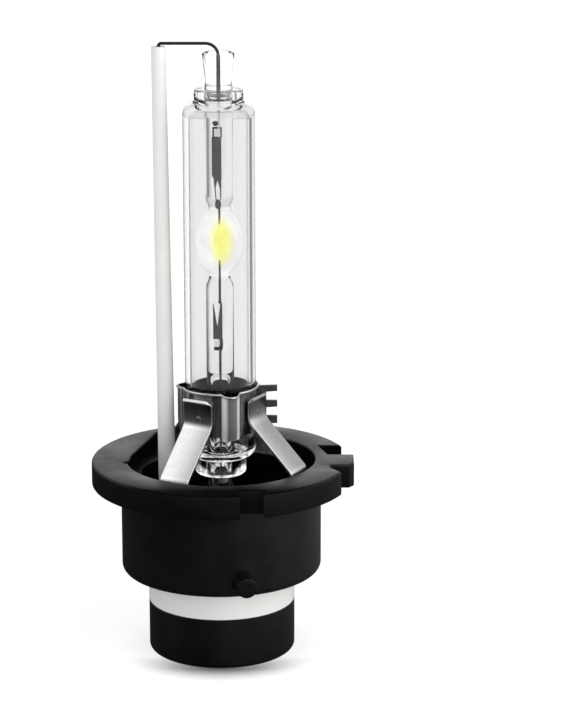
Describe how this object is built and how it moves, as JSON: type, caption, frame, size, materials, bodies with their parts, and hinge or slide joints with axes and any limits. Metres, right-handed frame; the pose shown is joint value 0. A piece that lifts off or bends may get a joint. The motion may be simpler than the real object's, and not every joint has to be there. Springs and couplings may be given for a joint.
{
  "type": "headlight bulb",
  "caption": "Xenon discharge headlight bulb: clear outer tube and quartz burner in a sheet-steel claw holder on a black flanged base, with a return lead in a ceramic sleeve.",
  "frame": {"origin": "centre of the base plug's lower face", "axes": "+Z along the lamp axis from the base to the tip, -X towards the return lead, +X towards the flange's tab, -Y towards the front"},
  "size_m": [0.0325, 0.032, 0.0761],
  "materials": {
    "black_plastic": "satin moulded",
    "plated_ring": "pale tin plate",
    "contact_brass": "turned",
    "clear_glass": "clear",
    "quartz": "clear",
    "salt": "yellow film",
    "molybdenum": "dull foil",
    "tungsten": "dull rod",
    "dark_wire": "oxidised",
    "ceramic": "unglazed",
    "spring_steel": "bright sheet",
    "dark_steel": "scorched sheet"
  },
  "bodies": {
    "root": {"base_housing": "black_plastic", "lower_plug": "black_plastic", "contact_ring": "plated_ring", "centre_contact": "contact_brass", "outer_tube": "clear_glass", "burner": "quartz", "salt_film": "salt", "upper_foil": "molybdenum", "lower_foil": "molybdenum", "upper_electrode": "tungsten", "lower_electrode": "tungsten", "upper_lead": "molybdenum", "lower_lead": "molybdenum", "lead_stop": "dark_wire", "return_wire": "dark_wire", "ceramic_sleeve": "ceramic", "ground_strap": "plated_ring", "clamp_band": "spring_steel", "clamp_lug": "dark_steel", "leg_front_left": "spring_steel", "leg_front_right": "spring_steel", "leg_back_right": "spring_steel", "leg_back_left": "spring_steel", "leg_anchors": "dark_steel"}
  },
  "joints": []
}
